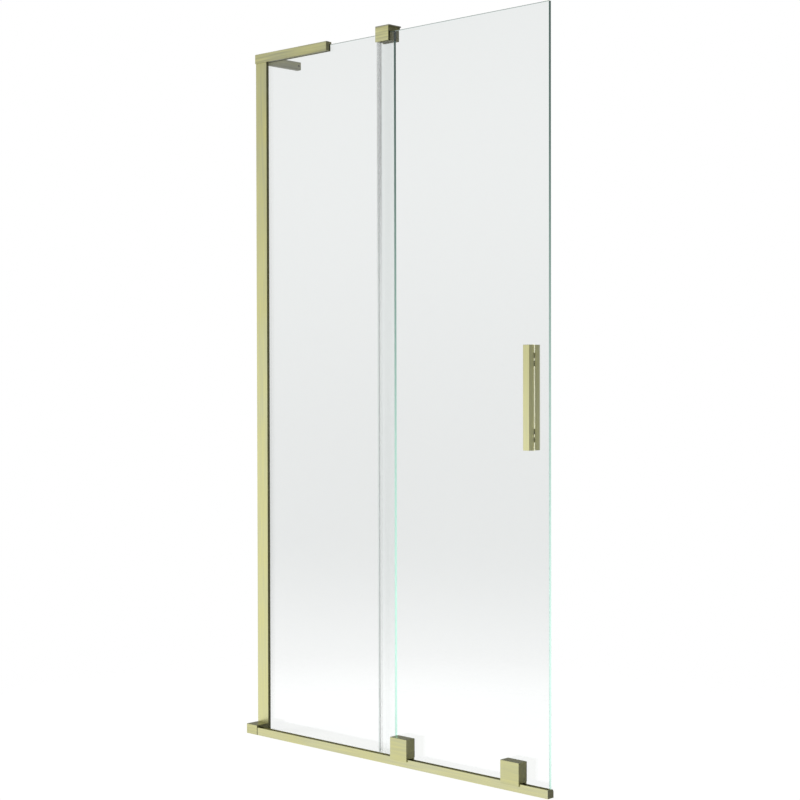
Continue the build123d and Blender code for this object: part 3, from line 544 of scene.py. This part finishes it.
def plate(outline, holes, front, back, arris):
    """Plate with holes. Each loop is a function of an inset. Across the thickness the inset runs
    from the arris at the front face to nothing and back to the arris, and the loops at those
    insets and depths make the rim; the two faces are the polygons between the outermost and the
    hole loops. Returns points, faces, and 1 for each rim face and 0 for each flat face."""
    quarter = np.linspace(0.0, 1.0, 3)
    inset = arris * np.concatenate([1.0 - quarter, quarter])
    depth = np.concatenate([front + arris * quarter, back - arris * (1.0 - quarter)])
    points, faces, marks, caps = [], [], [], {0: [], len(inset) - 1: []}
    first = 0
    for number, loop in enumerate([outline, *holes]):
        rings = [loop(i if number == 0 else -i) for i in inset]
        columns = len(rings[0])
        for row, (ring, y) in enumerate(zip(rings, depth)):
            points.append(np.stack([ring[:, 0], np.full(columns, y), ring[:, 1]], axis=1))
            if row in caps:
                caps[row].append((ring, first + row * columns))
        quads = grid_faces(len(inset), columns, first, flip=number == 0)
        faces += list(quads)
        marks += [1] * len(quads)
        first += len(inset) * columns
    for row, loops in caps.items():
        index = np.concatenate([np.arange(len(ring)) + start for ring, start in loops])
        corners = np.concatenate([ring for ring, _ in loops])
        flat = [[Vector((p[0], p[1], 0.0)) for p in ring] for ring, _ in loops]
        for triangle in tessellate_polygon(flat):
            a, b, c = (index[i] for i in triangle)
            pa, pb, pc = (corners[i] for i in triangle)
            area = (pb[0] - pa[0]) * (pc[1] - pa[1]) - (pb[1] - pa[1]) * (pc[0] - pa[0])
            # the front face looks along -Y, which is counter-clockwise in X and Z
            faces.append((a, b, c) if (area > 0) == (row == 0) else (a, c, b))
            marks.append(0)
    return np.concatenate(points), faces, marks


def carried(profile, axis, start, stop):
    """Closed profile carried straight along an axis: every profile point at the start and again at the
    stop, with the two ends closed by the profile itself."""
    profile = np.asarray(profile, float)
    columns = len(profile)
    points = np.empty((2, columns, 3))
    points[:, :, axis] = [[start], [stop]]
    points[:, :, [i for i in range(3) if i != axis]] = profile
    x, y = profile[:, 0], profile[:, 1]
    area = np.sum(x * np.roll(y, -1) - y * np.roll(x, -1)) / 2
    # a profile in (Y, Z) or (X, Y) turns about its axis the same way as its area; (X, Z) the other way
    outward = (area > 0) != (axis == 1)
    faces = list(grid_faces(2, columns, 0, flip=not outward))
    low = list(range(columns))
    high = [i + columns for i in low]
    faces.append(low[::-1] if outward else low)
    faces.append(high if outward else high[::-1])
    return points.reshape(-1, 3), faces


def softened(corners, radius, steps=4):
    """Polygon with every corner rounded: a corner gives way to a quadratic curve between the
    points one radius before and after it, at most 0.45 of the shorter side away."""
    corners = np.asarray(corners, float)
    before = np.roll(corners, 1, axis=0) - corners
    after = np.roll(corners, -1, axis=0) - corners
    reach_b = np.linalg.norm(before, axis=1, keepdims=True)
    reach_a = np.linalg.norm(after, axis=1, keepdims=True)
    reach = np.minimum(radius, 0.45 * np.minimum(reach_a, reach_b))
    start = corners + before / reach_b * reach
    end = corners + after / reach_a * reach
    t = np.linspace(0.0, 1.0, steps)[None, :, None]
    curve = (1 - t) ** 2 * start[:, None] + 2 * t * (1 - t) * corners[:, None] + t**2 * end[:, None]
    return curve.reshape(-1, 2)


def joined(parts):
    """Several shapes as one, with face numbers moved on."""
    points, faces, first = [], [], 0
    for some_points, some_faces in parts:
        points.append(some_points)
        faces += [[int(i) + first for i in face] for face in some_faces]
        first += len(some_points)
    return np.concatenate(points), faces


def in_mm(*corners):
    """Corners written in millimetres, as metres."""
    return np.asarray(corners, float) * MM


# ---- what takes which finish ----

# a name, the axis of the grain, shares of the gold, how deep the brushing, places of painted shade, and the
# nodes.
# The shares are lighter and darker copies of the one gold: painted light and shade for each piece. The places
# give painted shade on undersides, along the top bar's lower edge, under the guide cap, on dark flanks and in
# the joint by the end block, and painted light on the carriages' right flanks and the handle's right side;
# the handle also darkens towards its top as painted shade
GOLD = (
    ("top bar", 0, (1.00, 1.00, 1.00), 1.8, ((2, 1.4801, 1.4804, 0.60, 1.0), (2, 1.4815, 1.4860, 0.86, 1.0)), (
        "top_bar",
    )),
    ("rail", 0, (0.92, 0.92, 0.97), 1.0, ((0, 0.0355, 0.0358, 0.10, 1.0),), ("rail",)),
    ("guide block", 0, (1.14, 1.14, 1.14), 2.8, (
        (0, 0.4198, 0.4201, 1.0, 0.52), (2, 1.4741, 1.4744, 0.40, 1.0), (2, 1.4995, 1.5015, 1.0, 0.76),
    ), ("guide_body",)),
    ("guide cap", 0, (0.72, 0.72, 1.00), 1.0, (), ("guide_cap",)),
    ("end block", 0, (0.86, 0.86, 0.86), 1.4, ((0, 0.0330, 0.0334, 1.0, 0.60),), ("rail_end_block",)),
    ("left carriage", 0, (0.88, 0.88, 0.86), 1.0, ((0, 0.4885, 0.4888, 1.0, 1.16),), (
        "left_carriage_body", "left_carriage_cover", "left_clamp_disc",
    )),
    ("right carriage", 0, (0.88, 0.88, 0.86), 1.0, ((0, 0.7813, 0.7816, 1.0, 1.08),), (
        "right_carriage_body", "right_carriage_cover", "right_clamp_disc",
    )),
    ("arm", 1, (1.38, 1.40, 1.85), 1.4, ((2, 1.4811, 1.4814, 0.50, 1.0),), ("wall_arm", "arm_end_cap")),
    ("rail end", 1, (0.95, 0.95, 1.05), 1.0, ((0, 0.8496, 0.8499, 1.0, 0.86),), ("rail_end_cap",)),
    ("bar end", 1, (0.75, 0.75, 0.75), 1.0, (), ("bar_end_cap",)),
    ("wall profile", 2, (1.00, 1.00, 0.98), 0.8, ((0, 0.0341, 0.0344, 1.0, 0.45),), (
        "wall_channel", "wall_cover",
    )),
    ("handle", 2, (1.05, 1.05, 1.08), 1.0, ((0, 0.7985, 0.7988, 1.0, 1.48), (2, 0.66, 0.84, 1.02, 0.93)), (
        "handle_front_bar", "handle_rear_bar",
    )),
)
STEEL = (
    "arm_set_screw", "arm_wall_anchor", "corner_bracket", "corner_set_screws", "guide_screws", "handle_screws",
    "left_axle", "right_axle", "left_clamp_bolt", "right_clamp_bolt", "left_roller_bush", "right_roller_bush",
    "rail_screws",
)
RUBBER = ("guide_pads", "left_carriage_pads", "right_carriage_pads")
NYLON = (
    "handle_sleeves", "left_clamp_sleeve", "right_clamp_sleeve", "left_roller", "right_roller",
    "rail_stops",
)


def chosen(context):
    """The four groups of settings, as they are set now."""
    scene = context.scene
    return scene.bath_screen_metal, scene.bath_screen_glass, scene.bath_screen_seals, scene.bath_screen_stage


class FinishMetal(bpy.types.Operator):
    """Brush the gold pieces along their length and give the screws and axles plain steel"""

    bl_idname = "bath_screen.metal"
    bl_label = "Brushed metal"

    def execute(self, context):
        metal = chosen(context)[0]
        # each piece's gold carries its painted light and shade from the table
        for name, grain, shares, depth, painted_shades, nodes in GOLD:
            tint = shared(metal.gold, shares)
            material = brushed(f"Brushed gold, {name}", tint, grain, metal, depth, painted_shades)
            for node in nodes:
                dress(node, material)
        steel = brushed("Turned steel", metal.steel, 1, metal)
        for node in STEEL:
            dress(node, steel)
        return {"FINISHED"}


class FinishMouldings(bpy.types.Operator):
    """Give the rubber pads and the nylon rollers, liner, sleeves and stops their moulded grain"""

    bl_idname = "bath_screen.mouldings"
    bl_label = "Rubber and nylon"

    def execute(self, context):
        seals = chosen(context)[2]
        rubber = moulded("Grey rubber", seals.rubber, 0.62)
        nylon = moulded("Dark nylon", seals.nylon, 0.42)
        liner = moulded("Olive nylon liner", seals.liner, 0.42)
        pad = moulded("Olive rubber", seals.pad, 0.62)
        for nodes, material in (
            (RUBBER, rubber), (NYLON, nylon), (("guide_liner",), liner), (("handle_pads",), pad),
        ):
            for node in nodes:
                dress(node, material)
        return {"FINISHED"}


class MakePanes(bpy.types.Operator):
    """Make the fixed and the sliding pane with ground corners, polished edges and drilled holes"""

    bl_idname = "bath_screen.panes"
    bl_label = "Glass panes"

    def execute(self, context):
        glass = chosen(context)[1]
        drilled = [(x, CLAMP_HEIGHT, CLAMP_HOLE) for x in CLAMP_PLACES]
        drilled += [(HANDLE_PLACE, z, HANDLE_HOLE) for z in HANDLE_HEIGHTS]
        covered, free = (glass.covered_low, glass.covered_high), (glass.edge_low, glass.edge_high)
        panes = (
            ("pane_fixed", "fixed_glass", "frame", [], covered, 0.15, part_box("guide_body")[0].z),
            ("pane_sliding", "sliding_glass", "sliding_pane", drilled, free, 0.12, None),
        )
        for name, node, body, holes, tints, start, clamped in panes:
            low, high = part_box(node)

            def outline(inset, low=low, high=high):
                return rounded_loop(
                    low.x + inset, high.x - inset, low.z + inset, high.z - inset, glass.corner
                )

            loops = [
                lambda inset, x=x, z=z, r=r: ring_loop(x * MM, z * MM, r * MM - inset) for x, z, r in holes
            ]
            points, faces, rim = plate(outline, loops, low.y, high.y, glass.arris)
            materials = [
                clear_glass(f"Clear glass, {body}", low, high, glass),
                glass_edge(f"Polished glass edge, {body}", low, high, tints, start, clamped, glass.exit),
                # the top edge lets out a dark share: painted shade
                glass_edge(f"Polished top edge, {body}", low, high, tints, start, clamped, glass.top_exit_shade),
            ]
            # top faces take the third slot, with the painted dark share from inside
            top = [min(points[i][2] for i in face) > high.z - 2 * glass.arris for face in faces]
            rim = [2 if mark and upper else mark for mark, upper in zip(rim, top)]
            piece = make_piece(name, points, faces, body, materials, rim)
            piece.visible_shadow = False
            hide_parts(node)
        return {"FINISHED"}


class MakeSeals(bpy.types.Operator):
    """Make the three clear seals: under each pane, and on the left edge of the sliding pane"""

    bl_idname = "bath_screen.seals"
    bl_label = "Clear seals"

    def execute(self, context):
        seals = chosen(context)[2]
        material = clear_seal("Clear foot seal", seals, (seals.foot, seals.foot), 9.0 * MM, 1.0)
        gap = 0.05
        low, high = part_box("fixed_glass_seal")
        foot = in_mm(
            (-1, 0), (7, 0), (7, 9), (6 + gap, 9), (6 + gap, 4 - gap), (-gap, 4 - gap), (-gap, 9), (-1, 9)
        )
        points, faces = carried(softened(foot, seals.rounding), 0, low.x, high.x)
        piece = make_piece("seal_fixed_foot", points, faces, "frame", [material])
        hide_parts("fixed_glass_seal")

        low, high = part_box("sliding_glass_seal")
        foot = in_mm(
            (-18, 3), (-14.6, 3), (-14.3, 0.6), (-13.7, 0.6), (-13.4, 3), (-10, 3), (-10, 12),
            (-11 + gap, 12), (-11 + gap, 6 - gap), (-17 - gap, 6 - gap), (-17 - gap, 12), (-18, 12),
        )
        points, faces = carried(softened(foot, seals.rounding), 0, low.x, high.x)
        piece = make_piece("seal_sliding_foot", points, faces, "sliding_pane", [material])
        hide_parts("sliding_glass_seal")

        low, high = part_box("edge_seal")
        x = low.x / MM
        lip = in_mm(
            (x, -18), (x + 9.1, -18), (x + 9.1, -17 - gap), (x + 1.05, -17 - gap), (x + 1.05, -11 + gap),
            (x + 9.1, -11 + gap), (x + 9.1, -10), (x + 1.0, -10), (x + 0.75, -0.6), (x, -0.6),
        )
        points, faces = carried(softened(lip, seals.rounding), 2, low.z, high.z)
        material = clear_seal("Clear edge seal", seals, (seals.low, seals.body), -8.6 * MM, (x + 1.1) * MM)
        piece = make_piece("seal_overlap", points, faces, "sliding_pane", [material])
        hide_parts("edge_seal")
        return {"FINISHED"}


class MakeTape(bpy.types.Operator):
    """Lay pale tape between the glass and both bars of the handle, clear of its round fixings; its pale colour
    paints the bright reflection in the slit between the bars
    """

    bl_idname = "bath_screen.tape"
    bl_label = "Handle tape"

    def execute(self, context):
        seals = chosen(context)[2]
        material = moulded("Pale tape", seals.tape, 0.55)
        low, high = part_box("handle_front_bar")
        x0, x1 = low.x / MM, high.x / MM
        bead = in_mm(
            (x0 - 1.2, -17.02), (x0 - 1.2, -17.9), (x0 - 0.06, -18.3), (x0 - 0.06, -17.48),
            (x1 + 0.06, -17.48), (x1 + 0.06, -18.3), (x1 + 1.8, -17.9), (x1 + 1.8, -17.02),
        )
        # the pale dot paints the highlight in the middle of each round fixing
        dot = in_mm((x1 + 0.06, -17.02), (x1 + 0.06, -18.3), (x1 + 1.8, -17.9), (x1 + 1.8, -17.02))
        flat = in_mm((x0 + 0.6, -10.52), (x0 + 0.6, -10.98), (x1 - 0.6, -10.98), (x1 - 0.6, -10.52))
        half_pad, half_dot, over = 12.6 * MM, 2.5 * MM, 0.6 * MM
        fixings = [z * MM for z in HANDLE_HEIGHTS]
        ends = [low.z - over, *[z + side * half_pad for z in fixings for side in (-1, 1)], high.z + over]
        strips = []
        for start, stop in zip(ends[::2], ends[1::2]):
            strips.append(carried(softened(bead, 0.35 * MM), 2, start, stop))
            start, stop = max(start, low.z + over), min(stop, high.z - over)
            strips.append(carried(softened(flat, 0.2 * MM), 2, start, stop))
        for z in fixings:
            strips.append(carried(softened(dot, 0.35 * MM), 2, z - half_dot, z + half_dot))
        points, faces = joined(strips)
        make_piece("handle_tape", points, faces, "sliding_pane", [material])
        return {"FINISHED"}


class MakeGaskets(bpy.types.Operator):
    """Make the ribbed gaskets that hold the fixed pane in the wall channel and the top bar"""

    bl_idname = "bath_screen.gaskets"
    bl_label = "Glazing gaskets"

    def execute(self, context):
        seals = chosen(context)[2]
        material = moulded("Grey glazing rubber", seals.rubber, 0.62)
        low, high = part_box("channel_gaskets")
        x = np.linspace(low.x, high.x, 49)
        rib = 0.35 * MM * np.sin((x - low.x) / (high.x - low.x) * 6 * np.pi) ** 2
        strips = []
        for outer, inner in ((low.y, -0.05 * MM), (high.y, 6.05 * MM)):
            side = 1.0 if inner < outer else -1.0
            wave = np.stack([x, inner + side * rib], axis=1)
            back = np.array([(high.x, outer), (low.x, outer)])
            strips.append(carried(np.concatenate([wave, back]), 2, low.z, high.z))
        points, faces = joined(strips)
        piece = make_piece("gaskets_channel", points, faces, "frame", [material])
        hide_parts("channel_gaskets")

        low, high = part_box("bar_gasket")
        section = in_mm(
            (-0.6, 1482), (-0.05, 1482), (-0.05, 1493.55), (6.05, 1493.55), (6.05, 1482), (6.6, 1482),
            (6.6, 1494.7), (-0.6, 1494.7),
        )
        points, faces = carried(softened(section, 0.2 * MM), 0, low.x, high.x)
        piece = make_piece("gasket_bar", points, faces, "frame", [material])
        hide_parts("bar_gasket")
        return {"FINISHED"}


# ---- studio ----

# level direction that the studio's light comes from
BRIGHT_SIDE = (-0.6908, -0.7230)
# white that the glass shows behind it: its least, and what it gains downwards and upwards
BEHIND_GLASS = (0.851, 0.146, 0.114)
FLOOR_MIDDLE = 0.425
FLOOR_DROP = 0.5 * MM

def studio_world(stage):
    """White behind everything the camera sees directly, and a pale grey that varies with height behind
    glass. All else gets a soft studio that is bright at the front left and low down, and dark at the
    back right."""
    world = bpy.data.worlds.new("Studio")
    shader = Shader(world)
    way = shader.add("ShaderNodeTexCoord", {}, {})["Generated"]
    x, y, z = shader.split(way)
    side = (x * BRIGHT_SIDE[0] + y * BRIGHT_SIDE[1]).smooth(-0.45, 0.95)
    light = z.smooth(-0.06, 0.30, stage.studio_low, stage.studio_high)
    horizon = z.smooth(-0.22, -0.02) * z.smooth(0.0, 0.20, 1.0, 0.0)
    back = y.smooth(0.93, 1.0) * z.smooth(-0.5, 0.0)
    dark = stage.studio_dark + horizon * 0.16 + back * 0.5
    lit = side * (light - dark) + dark
    studio = shader.backdrop(lit)
    least, downwards, upwards = BEHIND_GLASS
    haze = z.smooth(-0.08, 0.18, 0.0, upwards) + z.smooth(-0.225, -0.09, downwards, 0.0)
    behind = shader.backdrop(haze + least)
    path = shader.add("ShaderNodeLightPath", {}, {})
    bounces = path["Glossy Depth"] + path["Diffuse Depth"]
    straight = path["Is Transmission Ray"] * bounces.math("LESS_THAN", 0.5)
    seen = shader.add("ShaderNodeMixShader", {}, {0: straight, 1: studio, 2: behind})[0]
    white = shader.add("ShaderNodeBackground", {}, {"Color": (1.0, 1.0, 1.0, 1.0), "Strength": 1.0})[0]
    seen = shader.add("ShaderNodeMixShader", {}, {0: path["Is Camera Ray"], 1: seen, 2: white})[0]
    shader.add("ShaderNodeOutputWorld", {}, {"Surface": seen})
    return world


def floor_finish(stage):
    """White floor that takes the object's shadow and fades into the backdrop towards its rim."""
    material = bpy.data.materials.new("Studio floor")
    shader = Shader(material)
    place = shader.place()
    x, y, _ = shader.split(place)
    across = x - FLOOR_MIDDLE
    reach = (across * across + y * y).math("SQRT")
    paper = shader.noise(place, 60.0, 3.0)
    white = shader.tinted(stage.floor_white, (paper - 0.5) * 0.02 + 1.0)
    soft = shader.add("ShaderNodeBsdfDiffuse", {}, {"Color": white})[0]
    path = shader.add("ShaderNodeLightPath", {}, {})
    mirrored = path["Glossy Depth"].math("GREATER_THAN", 0.5)
    level = path["Is Transmission Ray"] * 0.02 + 1.04
    glow = shader.add("ShaderNodeEmission", {}, {"Color": (1.0, 1.0, 1.0, 1.0), "Strength": level})[0]
    clear = shader.add("ShaderNodeBsdfTransparent", {}, {"Color": (1.0, 1.0, 1.0, 1.0)})[0]
    paper_white = shader.add("ShaderNodeMixShader", {}, {0: stage.floor_glow, 1: soft, 2: glow})[0]
    fade = reach.smooth(0.40 * stage.floor_radius, 0.98 * stage.floor_radius).math("MAXIMUM", mirrored)
    shader.surface(shader.add("ShaderNodeMixShader", {}, {0: fade, 1: paper_white, 2: clear})[0])
    return material


def disc_grid(radius, rings=12, columns=96):
    """Flat disc: ring radius grows evenly from the middle, angle goes once round."""
    radii = np.linspace(0.0, radius, rings + 1)[1:]
    angles = np.linspace(0.0, 2 * np.pi, columns, endpoint=False)
    r, a = np.meshgrid(radii, angles, indexing="ij")
    level = np.full(r.shape, -FLOOR_DROP)
    points = np.stack([FLOOR_MIDDLE + r * np.cos(a), r * np.sin(a), level], axis=-1).reshape(-1, 3)
    points = np.concatenate([points, [[FLOOR_MIDDLE, 0.0, -FLOOR_DROP]]])
    faces = [list(f) for f in grid_faces(rings, columns, 0, flip=True)]
    hub = len(points) - 1
    faces += [[hub, i, (i + 1) % columns] for i in range(columns)]
    return points, faces


def lamp(name, place, aim, size, power):
    """A square soft lamp that mirrors don't show."""
    data = bpy.data.lights.new(name, "AREA")
    data.shape = "SQUARE"
    data.size = size
    data.energy = power
    obj = bpy.data.objects.new(name, data)
    bpy.context.scene.collection.objects.link(obj)
    obj.location = place
    obj.rotation_euler = (Vector(aim) - Vector(place)).to_track_quat("-Z", "Y").to_euler()
    obj.visible_camera = False
    obj.visible_glossy = False
    obj.visible_transmission = False
    return obj


class SetStage(bpy.types.Operator):
    """Set up the camera, the soft studio and the white floor"""

    bl_idname = "bath_screen.stage"
    bl_label = "Studio"

    def execute(self, context):
        stage = chosen(context)[3]
        scene = context.scene
        scene.view_settings.view_transform = "Standard"
        scene.world = studio_world(stage)

        points, faces = disc_grid(stage.floor_radius)
        mesh = bpy.data.meshes.new("floor")
        mesh.from_pydata(points.tolist(), [], faces)
        mesh.materials.append(floor_finish(stage))
        floor = bpy.data.objects.new("floor", mesh)
        scene.collection.objects.link(floor)
        floor.visible_glossy = False

        lamp("key_lamp", (-1.6, -2.4, 2.6), (0.4, 0.0, 0.6), 1.8, stage.key_power)
        lamp("fill_lamp", (2.6, 0.4, 0.25), (0.6, 0.0, 0.3), 1.2, stage.fill_power)

        data = bpy.data.cameras.new("camera")
        data.sensor_width = 36.0
        data.lens = stage.focal
        data.clip_start, data.clip_end = 0.1, 60.0
        camera = bpy.data.objects.new("camera", data)
        scene.collection.objects.link(camera)
        a, p, r = stage.heading, stage.pitch, stage.roll
        ahead = Vector((-math.sin(a) * math.cos(p), math.cos(a) * math.cos(p), -math.sin(p)))
        level = Vector((math.cos(a), math.sin(a), 0.0))
        upright = level.cross(ahead)
        right = math.cos(r) * level + math.sin(r) * upright
        up = -math.sin(r) * level + math.cos(r) * upright
        camera.matrix_world = Matrix.Translation(stage.eye) @ Matrix((right, up, -ahead)).transposed().to_4x4()
        scene.camera = camera
        return {"FINISHED"}


class BathScreenPanel(bpy.types.Panel):
    """Lists the steps that finish the bath screen"""

    bl_idname = "VIEW3D_PT_bath_screen"
    bl_label = "Sliding bath screen"
    bl_space_type = "VIEW_3D"
    bl_region_type = "UI"
    bl_category = "Bath Screen"

    def draw(self, context):
        for group in chosen(context):
            box = self.layout.box()
            for name in group.__annotations__:
                box.prop(group, name)
        for step in STEPS:
            self.layout.operator(step.bl_idname)


GROUPS = {
    "bath_screen_metal": MetalSettings,
    "bath_screen_glass": GlassSettings,
    "bath_screen_seals": SealSettings,
    "bath_screen_stage": StageSettings,
}
STEPS = (FinishMetal, FinishMouldings, MakePanes, MakeSeals, MakeTape, MakeGaskets, SetStage)


def register():
    """Registers settings, steps and panel."""
    for name, group in GROUPS.items():
        bpy.utils.register_class(group)
        setattr(bpy.types.Scene, name, PointerProperty(type=group))
    for cls in (*STEPS, BathScreenPanel):
        bpy.utils.register_class(cls)


def unregister():
    """Takes them away again."""
    for cls in (BathScreenPanel, *reversed(STEPS)):
        bpy.utils.unregister_class(cls)
    for name, group in reversed(GROUPS.items()):
        delattr(bpy.types.Scene, name)
        bpy.utils.unregister_class(group)


def main():
    """Runs every step in order."""
    register()
    for step in STEPS:
        group, name = step.bl_idname.split(".")
        getattr(getattr(bpy.ops, group), name)()


if __name__ == "__main__":
    main()
